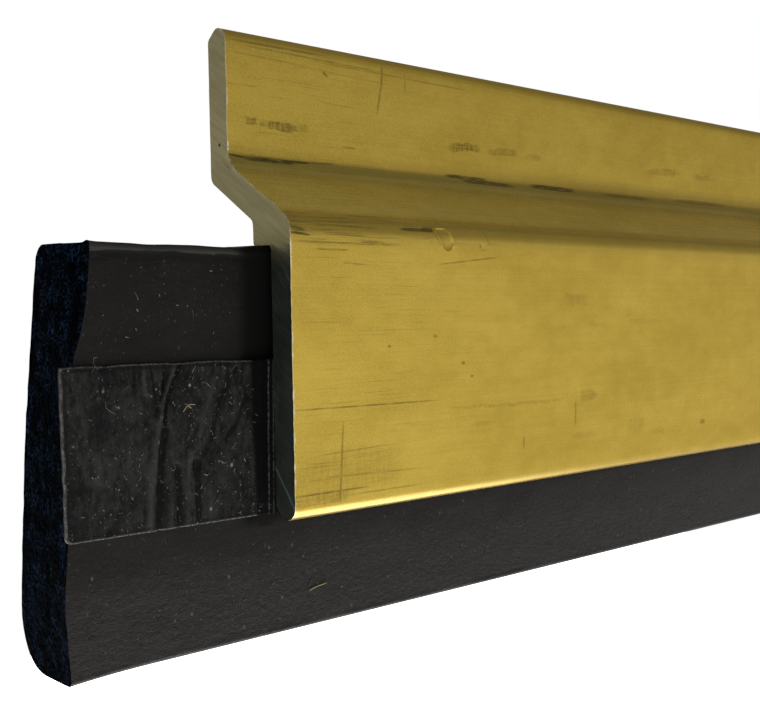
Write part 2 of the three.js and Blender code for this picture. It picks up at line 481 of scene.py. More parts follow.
def retainer_section():
    """The section's front and back outlines, from the top edge's crown to the bottom edge's.

    Both edges are rounded in front and bevelled behind, with the crown between.
    """
    crown, rounding, nose, heel, bevel = 1.445, 1.5, 0.8, 0.7, 53
    bend, back_bend, inner = 2.5, 1.3, 0.9
    half_bend = math.tan(math.radians(BEND / 2))
    under_jog = JOG_BACK + LEDGE_BACK * JOG_FALL
    foot = BOTTOM - FOOT_DROP
    front = path(
        arc(crown - WALL, TOP - rounding, crown, 90, 180, 8, rounding),
        14,
        arc(-WALL - bend, JOG_FRONT + bend * half_bend, bend, 0, -BEND, 8),
        10,
        arc(FRONT + bend, JOG_FOOT - bend * half_bend, bend, 180 - BEND, 180, 14),
        18,
        np.array([[FRONT, LEDGE - 0.4]]),
        46,
        arc(FRONT + crown, foot + rounding, crown, 180, 270, 8, rounding),
    )
    back = path(
        arc(crown - WALL, TOP - nose, nose, 90, bevel, 3),
        3,
        arc(-heel, TOP - 1.45, heel, bevel, 0, 2),
        14,
        arc(-back_bend, JOG_BACK + back_bend * half_bend, back_bend, 0, -BEND, 8),
        16,
        arc(LEDGE_BACK + inner, under_jog - inner * half_bend, inner, 180 - BEND, 180, 3),
        7,
        arc(LEDGE_BACK - 0.3, LEDGE + 0.3, 0.3, 0, -90, 3),
        10,
        arc(FLANGE_BACK + 0.4, LEDGE - 0.4, 0.4, 90, 180, 3),
        46,
        arc(FLANGE_BACK - heel, foot + 1.45, heel, 0, -bevel, 2),
        3,
        arc(FRONT + crown, foot + nose, nose, -bevel, -90, 3),
    )
    return front, back


def saw_marks(depth, height, seed):
    """Relief left by the saw: irregular lines that run down towards the front."""
    across = SAW_COS * depth - SAW_SIN * height
    along = SAW_SIN * depth + SAW_COS * height
    return fractal(across * 2.6, along * 0.12, seed, 3)


def dents(along, below):
    """Depth of the thumbnail-shaped dent below the jog, its raised rim, and the two nicks beyond it."""
    spine = [(20.9, 20.15), (21.7, 20.8), (22.3, 21.6), (22.6, 22.4)]
    away = line_distance(along, below, spine)
    beyond = smooth_step(along - 21.5 - (below - 20.4) * 0.75, -0.1, 0.3)
    depth = 0.13 * np.sqrt(np.clip(1 - (away / 0.82) ** 2, 0, 1)) - 0.09 * ridge(away - 0.96, 0.26) * beyond
    depth += 0.07 * ridge(line_distance(along, below, [(29.4, 21.0), (29.7, 22.1)]), 0.42)
    depth += 0.05 * ridge(line_distance(along, below, [(28.3, 22.4), (28.5, 22.8)]), 0.35)
    return depth


def retainer_mesh(materials):
    front, back = retainer_section()
    near = [(0, 0.1), (0.3, 0.35), (1.0, 0.7), (20.0, 0.14), (24.0, 0.5), (30.0, 1.2), (DETAILED, 6.0)]
    far = [(0, 0.1), (0.3, 0.5), (2.0, 2.0), (20.0, 7.0)]
    shape = bar(front, back, both_ways(LENGTH, near, far), 12)
    along, depth, height = shape.points.T.copy()
    below = TOP - height
    relief = 0.02 * saw_marks(depth, height, 3)
    facing = shape.points[:, 1] < FRONT + 0.4
    front_rim = shape.left & (np.arange(len(along)) < len(front))
    torn = value_noise(height * 5, height * 0, 6) > -0.35
    burr = 0.02 + 0.09 * np.abs(value_noise(height * 2.3, height * 0, 5)) * torn
    burr += 0.25 * ridge(height - BOTTOM + FOOT_DROP, 0.35)
    depth = depth + np.where(facing, dents(along, below), 0)
    depth = depth - np.where(front_rim, 0.5 * burr * (height > BOTTOM), 0)
    along = along + np.where(shape.left | shape.right, relief, 0) - np.where(front_rim, burr, 0)
    slant = below * END_SLANT * (1 - shape.points[:, 0] / LENGTH)
    points = np.column_stack([LEFT_END + along + slant, depth, height])
    return make_piece("retainer_extrusion", points, shape.faces, materials, shape.end_faces, 35)


def slot_cutter(x):
    """A cutter for one upright slot, flared at both faces to break the edges."""
    width, length, flare = 4.0, 7.2, 0.22
    radius, reach = width / 2, (length - width) / 2
    past = 1.0
    layers = [(past, past + flare), (-flare, 0.0), (flare - WALL, 0.0), (-WALL - past, past + flare)]
    steps = 18
    points = []
    for depth, spread in layers:
        for i in range(2 * steps):
            angle = math.pi * (i % steps) / (steps - 1) + (math.pi if i >= steps else 0)
            centre = reach if i < steps else -reach
            size = radius + spread
            points.append((x + size * math.cos(angle), depth, centre + size * math.sin(angle)))
    return make_piece("slot_cutter", points, closed_tube(len(layers), 2 * steps), [])


def screw_nodes():
    return sorted(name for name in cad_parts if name.startswith("screw_"))


def build_retainer():
    piece = retainer_mesh([anodised_gold(), sawn_aluminium()])
    for name in screw_nodes():
        low, high = box_mm(name)
        cut_away(piece, slot_cutter((low[0] + high[0]) / 2))
    piece.data.set_sharp_from_angle(angle=math.radians(35))
    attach(piece, "sweep")
    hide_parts("retainer")
    return piece


def anodised_gold():
    """Satin gold anodising: a faint mottle, stains in the creases, dull scuffs and fine scratches, with
    painted shade along the creases, on the jog, on the top edge and by the dent, a painted highlight on the
    bottom lip and painted glints at the cut edge.
    """
    r = Recipe("anodised_gold")
    facing = r.fade(r.parts(r.normal)[1], -0.35, -0.1)
    lines = r.noise(r.stretched(0.02, 1.6, 3.0), detail=4, rough=0.65)
    cloud = r.noise(r.stretched(0.05, 0.2, 0.13), detail=3)
    blotch = r.noise(r.stretched(0.30, 0.5, 0.45), detail=4, rough=0.65)
    grain = r.noise(r.place, 4.5, detail=3, rough=0.8)
    near_end = r.step(r.along, 2.0, 45.0, 1.0, 0.1)
    far_along = r.step(r.along, 8.0, 80.0)

    fine = r.times(r.math("SUBTRACT", grain, 0.5), r.between(near_end, 0.45, 0.9))
    fine = r.total(fine, r.between(near_end, 0.155, 0.255))
    tone = r.total(r.times(lines, 0.22), r.times(cloud, 0.5), r.times(blotch, 0.45), fine)
    tint = r.mix(r.step(tone, 0.45, 1.10), (0.50, 0.335, 0.045), (0.70, 0.495, 0.085))
    # Painted shading: the jog's colour is made paler and more olive, standing in for how light falls on the
    # upward-facing jog.
    in_jog = r.times(r.band(r.below, 17.1, 2.0, 1.3), facing)
    tint = r.shaded(in_jog, tint, r.mix(far_along, (1.15, 1.35, 2.0), (1.08, 1.22, 1.7)))
    # Painted shade: darker bands along the upper crease and under it.
    under_crease = r.times(r.step(r.below, 13.1, 13.45), r.fade(r.below, 13.6, 16.6), facing)
    tint = r.mix(r.times(under_crease, r.between(far_along, 0.6, 0.5)), tint, (0.25, 0.205, 0.055))
    over_crease = r.times(r.band(r.below, 13.1, 0.0, 2.2), facing, r.between(far_along, 0.1, 0.6))
    tint = r.mix(over_crease, tint, (0.27, 0.19, 0.04))
    # Painted shade: a dark line along the lower crease; below it the colour is a little darker.
    over_foot = r.times(r.band(r.below, 20.5, 0.05, 0.45), facing)
    tint = r.mix(r.times(over_foot, r.between(far_along, 0.3, 0.4)), tint, (0.24, 0.16, 0.035))
    under_foot = r.times(r.band(r.below, 21.5, 0.4, 1.7), facing)
    tint = r.mix(r.times(under_foot, 0.4), tint, (0.40, 0.29, 0.06))
    # Painted highlight: the bottom lip's colour is paled towards white near the left end and dimmed further
    # along.
    lip = r.step(r.below, 50.0, 50.6)
    tint = r.shaded(lip, tint, r.mix(far_along, (0.88, 0.94, 2.0), (0.70, 0.72, 1.15)))
    # Painted shade: a darker band along the rounded top edge.
    top_band = r.times(r.fade(r.below, 0.78, 0.98), facing)
    tint = r.mix(r.times(top_band, 0.3), tint, (0.28, 0.20, 0.04))

    broken = r.step(r.noise(r.stretched(0.45, 1.5, 6.0), detail=4, rough=0.75), 0.36, 0.54, 0.35, 1.0)
    ticks = r.noise(r.stretched(5.5, 1.0, 0.5), detail=2, rough=0.7)
    threads = r.noise(r.stretched(0.35, 1.0, 8.0), detail=2, rough=0.7)
    hatch = r.times(r.total(r.step(ticks, 0.42, 0.62), r.step(threads, 0.42, 0.62)), 0.5)
    hatch = r.between(hatch, 0.25, 1.0)
    hair = r.step(r.noise(r.stretched(0.5, 3.0, 3.0), detail=3), 0.30, 0.52, 0.40, 1.0)
    stain = r.times(marks(r, STAINS), broken)
    scuff = r.times(marks(r, SCUFFS, 0.8), hatch)
    scratch_and_dent_shade = r.times(marks(r, SCRATCHES_AND_DENT_SHADE), hair)
    pits = r.fade(r.cells(r.stretched(0.9, 1.0, 1.4), 1.5), 0.08, 0.18)
    pits = r.times(pits, near_end, r.step(blotch, 0.50, 0.66))
    thin = r.times(r.step(r.noise(r.stretched(0.10, 7.0, 7.0), detail=1), 0.62, 0.74), near_end)
    streaks = r.step(r.noise(r.stretched(0.16, 1.0, 5.0), detail=3, rough=0.6), 0.52, 0.68)
    streaks = r.times(streaks, r.band(r.below, 21.2, 1.0, 1.3), r.fade(r.along, 8.0, 34.0))
    dull = r.times(scuff, facing, 0.88)
    # Stains, scratches, streaks and pits, with the painted shade by the dent.
    dirt_and_dent_shade = r.largest(
        r.times(stain, 0.88), r.times(scratch_and_dent_shade, 0.55), r.times(streaks, 0.5), r.times(pits, 0.35)
    )
    dirt_and_dent_shade = r.times(r.largest(dirt_and_dent_shade, r.times(thin, 0.32)), facing)
    base = r.mix(dull, tint, (0.13, 0.085, 0.014))
    base = r.mix(dirt_and_dent_shade, base, (0.070, 0.056, 0.022))

    # Bare metal at the cut edge's burr, painted bright as sparse glints that are thickest along the upper
    # fillet, and a faint painted highlight line along the edge.
    rim = r.math("SUBTRACT", r.along, r.times(r.below, END_SLANT))
    burr_glints = r.step(r.noise(r.place, 0.9, detail=5, rough=0.75), 0.49, 0.58)
    burr_glints = r.times(burr_glints, r.between(r.band(r.below, 13.4, 1.4, 0.6), 0.6, 1.0))
    pale = r.largest(r.times(r.fade(rim, 0.10, 0.22), burr_glints), r.step(rim, -0.02, 0.10, 0.35, 0.0))
    base = r.mix(r.times(pale, facing), base, (0.95, 0.92, 0.82))

    roughness = r.total(0.22, r.times(lines, 0.04), r.times(grain, 0.08), r.times(dirt_and_dent_shade, 0.3))
    relief = r.total(r.times(lines, 0.2), r.times(blotch, 0.5), r.times(grain, 0.3))
    metal = r.between(in_jog, 0.88, 0.45)
    r.set(Base_Color=base, Metallic=metal, Roughness=roughness, Normal=r.bump(relief, 0.012))
    r.set(Specular_Tint=(0.95, 0.84, 0.60, 1.0))
    return r.material


def sawn_aluminium():
    """The raw end: saw lines down towards the front, a dull grey gold above, and below painted shade and a
    painted reflection of the dark sponge in blue-black, with painted highlights on saw lines.
    """
    r = Recipe("sawn_aluminium")
    across = r.math("SUBTRACT", r.times(r.depth, SAW_COS), r.times(r.height, SAW_SIN))
    along = r.math("ADD", r.times(r.depth, SAW_SIN), r.times(r.height, SAW_COS))
    lines = r.noise(r.vector(r.times(across, 2.2), r.times(along, 0.14), 0.0), detail=5, rough=0.6)
    score = r.step(r.noise(r.vector(r.times(across, 3.8), r.times(along, 0.08), 4.0), detail=1), 0.66, 0.74)
    breakup = r.step(r.noise(r.place, 0.28, detail=2), 0.45, 0.6)
    dull = r.noise(r.place, 0.5, detail=3)
    tint = r.mix(r.step(lines, 0.25, 0.75), (0.50, 0.435, 0.215), (0.63, 0.56, 0.31))
    in_jog = r.band(r.below, 17.0, 2.0, 1.5)
    tint = r.mix(r.times(in_jog, 0.22), tint, (0.25, 0.21, 0.09))
    tint = r.mix(r.times(score, breakup, 0.5), tint, (0.16, 0.14, 0.08))
    # Painted shade and a painted reflection of the dark sponge: the lower part turns blue-black, with
    # painted highlights on some saw lines and on one long line.
    low = r.step(r.below, 22.8, 26.0)
    tint = r.shaded(low, tint, (0.48, 0.64, 1.0))
    steep = r.math("SUBTRACT", r.times(r.depth, 0.79), r.times(r.height, 0.61))
    other = r.math("ADD", r.times(r.depth, 0.61), r.times(r.height, 0.79))
    fine = r.noise(r.vector(r.times(steep, 3.4), r.times(other, 0.12), 8.0), detail=2)
    shine = r.largest(r.times(r.step(fine, 0.60, 0.70), 0.35), r.band(steep, 14.72, 0.05, 0.12))
    tint = r.mix(r.times(shine, low), tint, (0.75, 0.88, 0.95))
    speck = r.times(r.band(r.below, 12.3, 0.1, 0.1), r.band(r.depth, -1.7, 0.12, 0.1))
    tint = r.mix(speck, tint, (0.03, 0.03, 0.03))
    roughness = r.total(0.3, r.times(dull, 0.15))
    r.set(Base_Color=tint, Metallic=1.0, Roughness=roughness, Normal=r.bump(lines, 0.006))
    return r.material


# ---------------------------------------------------------------- sponge


# How far the cut sponge reaches past the aluminium, by distance below the retainer's top
SKIN_CUT = [(23.6, 19.3), (28.8, 19.7), (32.4, 20.4), (34.0, 21.2), (50.8, 21.8), (56.0, 22.2), (63.5, 21.6)]
BACK_CUT = [(23.6, 19.9), (42.0, 21.3), (57.0, 21.9), (63.5, 21.7)]


def sponge_section():
    front_top, back_top, front_foot, heel = 0.7, 1.5, 0.6, 4.5
    crown = np.array([[-5.0, SEAL_TOP]])
    sole = np.array([[-7.0, SEAL_BOTTOM]])
    front = path(
        crown,
        9,
        arc(SEAL_FRONT + front_top, SEAL_TOP - front_top, front_top, 90, 180, 6),
        110,
        arc(SEAL_FRONT + front_foot, SEAL_BOTTOM + front_foot, front_foot, 180, 270, 5),
        5,
        sole,
    )
    back = path(
        crown,
        8,
        arc(SEAL_BACK - back_top, SEAL_TOP - back_top, back_top, 90, 0, 7),
        100,
        arc(SEAL_BACK - heel, SEAL_BOTTOM + heel, heel, 0, -90, 14),
        6,
        sole,
    )
    return front, back


def sponge_mesh(materials):
    front, back = sponge_section()
    reach = LENGTH + 2 * OVERHANG
    near = [(0, 0.25), (1.0, 0.5), (24, 0.9), (OVERHANG + DETAILED, 9.0)]
    far = [(0, 0.25), (1.0, 0.8), (24, 9.0)]
    shape = bar(front, back, both_ways(reach, near, far), 28)
    along, depth, height = shape.points.T.copy()
    below = TOP - height
    from_top = SEAL_TOP - height
    on_end = shape.left | shape.right
    ragged = 0.03 * fractal(height * 0.7, depth * 0.5, 21, 3)
    inwards = smooth_step(depth, SEAL_FRONT, SEAL_FRONT + 4)
    reached = blurred(below, SKIN_CUT, 1.2) * (1 - inwards) + blurred(below, BACK_CUT, 1.2) * inwards
    shorter = OVERHANG - reached + ragged
    pull = np.clip(1 - along / 18, 0, 1) ** 2
    pull_right = np.clip(1 - (reach - along) / 18, 0, 1) ** 2
    cells = 0.07 * value_noise(depth * 2.9, height * 2.3, 31)
    cells += 0.05 * value_noise(depth * 5.3, height * 4.9, 32)
    sunk = np.where(shape.inner, 0.06 + cells, 0)
    moved = shorter * pull - 0.6 * pull_right * (1 + ragged) + np.where(shape.left, sunk, -sunk)
    skin = (shape.points[:, 1] < SEAL_FRONT + 0.02) & ~on_end
    groove = 0.10 * ridge(from_top - 1.15 - 0.1 * value_noise(along * 0.2, along * 0, 41), 0.4)
    waves = 0.05 * fractal(along * 0.16, height * 0.3, 42, 2)
    waves += 0.012 * value_noise(along * 0.9, height * 2.2, 43)
    free = smooth_step(np.abs(along - reach / 2), LENGTH / 2 - 0.5, LENGTH / 2 + 2.5)
    free = np.maximum(free, smooth_step(below, TOP - BOTTOM + 0.3, TOP - BOTTOM + 2.0))
    depth = depth + np.where(skin, (groove + waves + 0.05) * free, 0)
    lip = (from_top < 0.9) & (shape.points[:, 1] < -5)
    height = height + np.where(lip, 0.06 * value_noise(along * 0.35, along * 0, 44) * free, 0)
    covered = smooth_step(along - OVERHANG, -3.0, -0.4) * smooth_step(reach - along - OVERHANG, -3.0, -0.4)
    height = height + 0.27 * covered * smooth_step(from_top, 1.5, 0.0)
    peeled = np.clip(1 - along / 3.5, 0, 1) ** 2 * smooth_step(-depth, 8.2, 9.2) * ~shape.inner
    height = height + 0.26 * peeled * (from_top < 0.9)
    sag = 0.25 + 0.3 * np.clip(1 - along / 9, 0, 1) ** 2
    height = height - sag * smooth_step(height, SEAL_BOTTOM + 9, SEAL_BOTTOM)
    points = np.column_stack([LEFT_END - OVERHANG + along + moved, depth, height])
    return make_piece("sponge_strip", points, shape.faces, materials, shape.end_faces, 60)


def build_sponge():
    piece = sponge_mesh([sponge_skin(), cut_sponge()])
    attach(piece, "sweep")
    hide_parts("sponge_seal")
    return piece


def lint(r, density=0.5):
    """A mask of dust specks of several sizes caught on the rubber."""
    patches = r.step(r.noise(r.place, 0.22, detail=2), 0.36, 0.60, 0.3, 1.0)
    sizes = [(0.8, 0.16, 0.54, 1.0), (1.7, 0.19, 0.51, 0.8), (3.6, 0.24, 0.52, 0.6)]
    mask = 0.0
    for scale, size, rarity, strength in sizes:
        speck = r.fade(r.cells(r.stretched(1.0, 1.0, 0.8), scale), size * 0.5, size)
        rare = r.step(r.noise(r.place, scale * 0.8, detail=1), rarity, rarity + 0.08)
        mask = r.math("MAXIMUM", mask, r.times(speck, rare, strength))
    return r.times(mask, patches, density)


def sponge_skin():
    """Moulded rubber skin: matte and leathery, dusty, paler along its top lip, with painted shade in the
    groove under the lip and a painted black shadow by the aluminium.
    """
    r = Recipe("sponge_skin")
    pores = r.noise(r.place, 5.0, detail=3, rough=0.8)
    leather = r.noise(r.stretched(1.5, 1.0, 2.3), 1.0, detail=5, rough=0.7)
    cloud = r.noise(r.place, 0.15, detail=3)
    dust = lint(r, 0.75)
    low = r.step(r.below, 50.0, 60.0)
    tone = r.total(r.times(pores, 0.8), r.times(cloud, 0.5), r.times(leather, r.between(low, 0.3, 0.9)))
    tint = r.mix(r.step(tone, 0.65, 1.25), (0.0030, 0.0027, 0.0026), (0.0150, 0.0137, 0.0126))
    from_top = r.math("SUBTRACT", SEAL_TOP, r.height)
    wavy = r.math("ADD", from_top, r.times(r.noise(r.stretched(0.25, 0.25, 0.0), detail=3), 0.6))
    front = r.fade(r.parts(r.normal)[1], -0.9, -0.3)
    clear = r.fade(r.along, -4.0, -1.5)
    lip = r.times(r.band(wavy, 0.55, 0.42, 0.18), front, clear)
    # Painted shade: a dark line in the groove under the lip.
    under_lip = r.times(r.band(wavy, 1.32, 0.16, 0.25), front, clear)
    tint = r.mix(r.times(lip, 0.9), tint, (0.042, 0.0405, 0.0365))
    tint = r.mix(r.times(under_lip, 0.8), tint, (0.001, 0.001, 0.001))
    pinched = r.step(r.noise(r.stretched(0.22, 1.0, 3.6), detail=3, rough=0.6), 0.53, 0.64)
    pinched = r.times(pinched, r.band(from_top, 2.3, 1.0, 1.0), clear, front)
    tint = r.mix(r.times(pinched, 0.75), tint, (0.0006, 0.0006, 0.0006))
    tint = r.mix(dust, tint, (0.11, 0.105, 0.092))
    # Painted shadow: the skin turns black next to the aluminium and in a spot just below the tape's end.
    corner = r.times(r.step(r.along, -3.6, -1.6), r.fade(r.below, 50.8, 53.0))
    corner = r.largest(corner, r.times(marks(r, [Mark(0.3, 51.3, 1.2, 1.0)]), 0.9))
    corner = r.times(corner, front)
    tint = r.mix(r.times(corner, 0.97), tint, (0.0001, 0.0001, 0.0001))
    relief = r.times(r.total(r.times(pores, 0.3), r.times(leather, r.between(low, 0.35, 1.7))), front)
    roughness = r.total(0.42, r.times(cloud, 0.12), r.times(dust, 0.3), r.times(corner, 0.4))
    r.set(Base_Color=tint, Roughness=roughness, Normal=r.bump(relief, 0.10))
    r.set(Specular_IOR_Level=0.19, Specular_Tint=(1.0, 0.95, 0.91, 1.0))
    return r.material


def cut_sponge():
    """Cut closed-cell foam: black cells whose torn rims catch a bluish light."""
    r = Recipe("cut_sponge")
    cells = r.cells(r.stretched(1.0, 1.0, 0.8), 2.7)
    clump = r.noise(r.stretched(0.8, 0.8, 0.5), 1.0, detail=3)
    fine = r.noise(r.stretched(3.8, 3.8, 3.2), 1.0, detail=2, rough=0.7)
    lit = r.times(r.step(fine, 0.46, 0.66), r.step(clump, 0.42, 0.60))
    tint = r.mix(lit, (0.0001, 0.0004, 0.0009), (0.0075, 0.018, 0.040))
    r.set(Base_Color=tint, Roughness=0.85, Normal=r.bump(r.total(cells, fine), 0.2))
    r.set(Specular_IOR_Level=0.01)
    return r.material


# ---------------------------------------------------------------- tape


# The tape's face where it stands free of the aluminium
TAPE_FREE_FRONT = tape_high[1] - 0.42
# Creases in it there: corners by distance from the aluminium's end and below its top, width and height
CREASES = [
    ([(-14.2, 34.6), (-14.2, 36.3), (-13.9, 37.6)], 0.34, 0.14),
    ([(-10.7, 34.6), (-11.6, 37.0), (-12.2, 38.5), (-12.3, 39.8)], 0.36, 0.18),
    ([(-12.5, 39.8), (-12.9, 42.2), (-13.3, 44.4), (-13.6, 46.7), (-13.7, 50.4)], 0.66, 0.17),
    ([(-11.3, 45.0), (-11.3, 50.3)], 0.50, 0.09),
    ([(-9.2, 43.4), (-9.4, 46.2), (-9.4, 50.3)], 0.60, 0.14),
    ([(-6.3, 36.5), (-7.4, 39.6), (-8.2, 42.6), (-9.0, 44.0)], 0.55, 0.09),
    ([(-15.9, 38.0), (-15.6, 41.0), (-16.0, 44.0)], 0.60, 0.06),
    ([(-17.8, 36.8), (-17.5, 39.6)], 0.50, 0.07),
    ([(-19.5, 41.0), (-18.8, 44.5), (-19.3, 48.0)], 0.80, 0.04),
    ([(-6.7, 45.2), (-6.9, 50.3)], 0.45, 0.08),
    ([(-4.4, 37.5), (-5.6, 40.5), (-6.6, 43.2)], 0.40, 0.06),
]
# Channels sunk beside the creases, which the film's colour paints dark as shade
CHANNELS = [
    ([(-15.2, 35.0), (-15.2, 36.8)], 0.30, 0.12),
    ([(-13.5, 34.7), (-12.9, 37.9), (-12.65, 39.9)], 0.26, 0.16),
    ([(-11.9, 34.7), (-12.05, 37.3)], 0.22, 0.16),
    ([(-10.1, 34.6), (-11.4, 37.7), (-11.8, 39.5), (-11.9, 41.2)], 0.28, 0.20),
    ([(-11.9, 41.2), (-12.2, 43.0), (-12.5, 46.6), (-12.6, 50.7)], 0.52, 0.24),
    ([(-10.5, 44.8), (-10.3, 47.4), (-10.3, 50.6)], 0.46, 0.18),
    ([(-8.3, 44.6), (-8.2, 46.5), (-8.1, 50.7)], 0.62, 0.22),
    ([(-3.7, 35.4), (-4.5, 36.5), (-5.7, 38.7), (-6.4, 41.6), (-7.3, 43.5), (-8.2, 44.8)], 0.72, 0.12),
    ([(-2.3, 38.5), (-3.7, 41.3), (-4.8, 42.6)], 0.60, 0.10),
]


def tape_crests(past, below):
    """How far the free tape's face stands out, by distance from the aluminium's end and below its top."""
    raised = sum(size * ridge(line_distance(past, below, line), width) for line, width, size in CREASES)
    sunk = sum(size * ridge(line_distance(past, below, line), width) for line, width, size in CHANNELS)
    ripple = 0.055 * fractal(past * 0.6, below * 0.2, 51, 3)
    ripple += 0.03 * value_noise(past * 2.2, below * 1.2, 52)
    seams = 0.10 * ridge(past + 0.5, 0.22) + 0.10 * ridge(past - 0.5, 0.2)
    return raised - sunk + ripple + seams


def tape_mesh(material):
    """The tape: thin where it stands free, creased by handling, and full thickness behind the aluminium."""
    edge = 0.12
    middle = (tape_high[1] + TAPE_FREE_FRONT) / 2
    crown, sole = np.array([[middle, TAPE_TOP]]), np.array([[middle, BOTTOM]])
    front = path(
        crown,
        2,
        arc(TAPE_FREE_FRONT + edge, TAPE_TOP - edge, edge, 90, 180, 3),
        110,
        arc(TAPE_FREE_FRONT + edge, BOTTOM + edge, edge, 180, 270, 3),
        2,
        sole,
    )
    back_top, back_foot = np.array([[tape_high[1], TAPE_TOP]]), np.array([[tape_high[1], BOTTOM]])
    back = path(crown, 2, back_top, 116, back_foot, 2, sole)
    reach = LENGTH + 2 * OVERHANG
    near = [(0, 0.1), (0.3, 0.15), (OVERHANG + 0.9, 2.0), (OVERHANG + 12, 15.0)]
    far = [(0, 0.1), (0.3, 0.4), (OVERHANG + 0.6, 3.0), (OVERHANG + 12, 15.0)]
    shape = bar(front, back, both_ways(reach, near, far), 5)
    along, depth, height = shape.points.T.copy()
    below = TOP - height
    past = along - OVERHANG
    from_right = reach - along - OVERHANG
    free = np.maximum(1 - smooth_step(past, 0.5, 0.9), 1 - smooth_step(from_right, -1.9, -0.7))
    skin = shape.points[:, 1] < middle - 0.01
    # The right-hand end wears the same creases upside down
    upside_down = 85.4 - below
    crests = np.where(past < LENGTH / 2, tape_crests(past, below), tape_crests(from_right, upside_down))
    crests = crests * free * skin
    full = TAPE_FREE_FRONT - tape_low[1]
    depth = depth - np.where(skin, np.clip(crests, -0.25, 0.3) + full * (1 - free), 0)
    from_bottom = height - BOTTOM
    corner = 0.7 - np.sqrt(np.clip(0.49 - np.clip(0.7 - from_bottom, 0, 0.7) ** 2, 0, 1))
    ragged = 0.02 * fractal(height * 0.8, height * 0, 53, 3) + 0.8 * corner
    longer = 0.42 - 0.4 * smooth_step(below, 34.5, 50.7)
    pull = np.clip(1 - along / 4, 0, 1)
    edge_wave = 0.07 * value_noise(along * 0.5, along * 0, 54) * free
    from_edge = np.minimum(np.minimum(along - ragged, TAPE_TOP - height), from_bottom)
    height = height + np.where(TAPE_TOP - height < 0.3, edge_wave, 0)
    weights = {"crest": crests / 0.2, "from_edge": np.where(skin, from_edge, 9.0)}
    points = np.column_stack([LEFT_END - OVERHANG + along - (longer - ragged) * pull, depth, height])
    return make_piece("tape_strip", points, shape.faces, [material], 0, 60, weights)


def tape_film():
    """Black tape film: painted highlights on its crests, cut edges and seam folds, painted shade in its
    channels and a painted black shadow next to the aluminium, with lint stuck to it.
    """
    r = Recipe("tape_film")
    crest = r.node("ShaderNodeAttribute", attribute_name="crest").outputs["Fac"]
    from_edge = r.node("ShaderNodeAttribute", attribute_name="from_edge").outputs["Fac"]
    crinkle = r.noise(r.stretched(1.6, 1.0, 0.7), 1.0, detail=5, rough=0.7)
    grain = r.noise(r.place, 6.0, detail=3, rough=0.7)
    cloud = r.noise(r.stretched(0.35, 1.0, 0.16), 1.0, detail=3)
    dust = lint(r, 1.0)
    mottle = r.noise(r.stretched(1.6, 1.0, 1.2), 1.0, detail=4, rough=0.75)
    tone = r.total(r.times(crinkle, 0.7), r.times(cloud, 0.5), r.times(mottle, 0.5), r.times(grain, 0.3))
    tint = r.mix(r.step(tone, 0.84, 1.17), (0.0007, 0.0007, 0.0006), (0.0205, 0.0200, 0.0185))
    # Painted highlight on the crests and painted shade in the channels.
    tint = r.mix(r.step(crest, 0.05, 1.0, 0.0, 0.75), tint, (0.034, 0.0335, 0.031))
    tint = r.mix(r.step(crest, -0.6, -0.06, 0.98, 0.0), tint, (0.0002, 0.0002, 0.0002))
    # Painted highlight: the cut edges are paled in broken patches.
    breakup = r.step(r.noise(r.place, 2.6, detail=3), 0.40, 0.60, 0.25, 1.0)
    edge = r.times(r.fade(from_edge, 0.08, 0.21), breakup)
    tint = r.mix(edge, tint, (0.10, 0.096, 0.087))
    beside = r.band(from_edge, 0.36, 0.08, 0.14)
    tint = r.mix(r.times(beside, 0.7), tint, (0.0006, 0.0006, 0.0006))
    tint = r.mix(dust, tint, (0.20, 0.19, 0.163))
    # Painted shadow: the tape turns black and rougher over its last mm or two before the aluminium, with a
    # ragged edge.
    slanting = r.math("SUBTRACT", r.along, r.times(r.math("SUBTRACT", r.below, 34.8), 0.045))
    painted_shadow_ragged = r.step(r.total(slanting, r.times(grain, 1.6)), -1.35, -0.95)
    painted_shadow_core = r.step(r.total(slanting, r.times(crinkle, 0.6)), -1.75, -1.35)
    black = r.largest(r.times(painted_shadow_ragged, 0.8), painted_shadow_core)
    # Painted highlights: pale lines on the film's folds at the seams.
    first, second = r.band(r.along, 0.35, 0.03, 0.07), r.band(r.along, 0.8, 0.03, 0.06)
    seam = r.times(r.largest(first, r.times(second, 0.6)), breakup)
    tint = r.mix(black, tint, (0.0003, 0.0003, 0.0003))
    tint = r.mix(r.times(seam, 0.8), tint, (0.075, 0.073, 0.067))
    relief = r.total(r.times(crinkle, 1.2), r.times(grain, 0.3))
    roughness = r.total(0.34, r.times(cloud, 0.2), r.times(dust, 0.3), r.times(black, 0.45))
    r.set(Base_Color=tint, Roughness=roughness, Normal=r.bump(relief, 0.11))
    r.set(Specular_IOR_Level=0.13)
    return r.material


def build_tape():
    piece = tape_mesh(tape_film())
    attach(piece, "sweep")
    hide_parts("bonding_tape")
    return piece


def fibre(line, radius):
    """A closed tube along a line of (along, depth, height) points, thin at both tips."""
    line = np.asarray(line, float)
    around = 5
    headings = np.gradient(line, axis=0)
    headings /= np.linalg.norm(headings, axis=1)[:, None]
    side = np.cross(headings, (0.0, 1.0, 0.0))
    side /= np.maximum(np.linalg.norm(side, axis=1), 1e-6)[:, None]
    other = np.cross(headings, side)
    points = []
    for i, centre in enumerate(line):
        size = radius * (0.35 if i in (0, len(line) - 1) else 1.0)
        for angle in np.arange(around) * 2 * math.pi / around:
            points.append(centre + size * (math.cos(angle) * side[i] + math.sin(angle) * other[i]))
    return np.array(points), closed_tube(len(line), around)


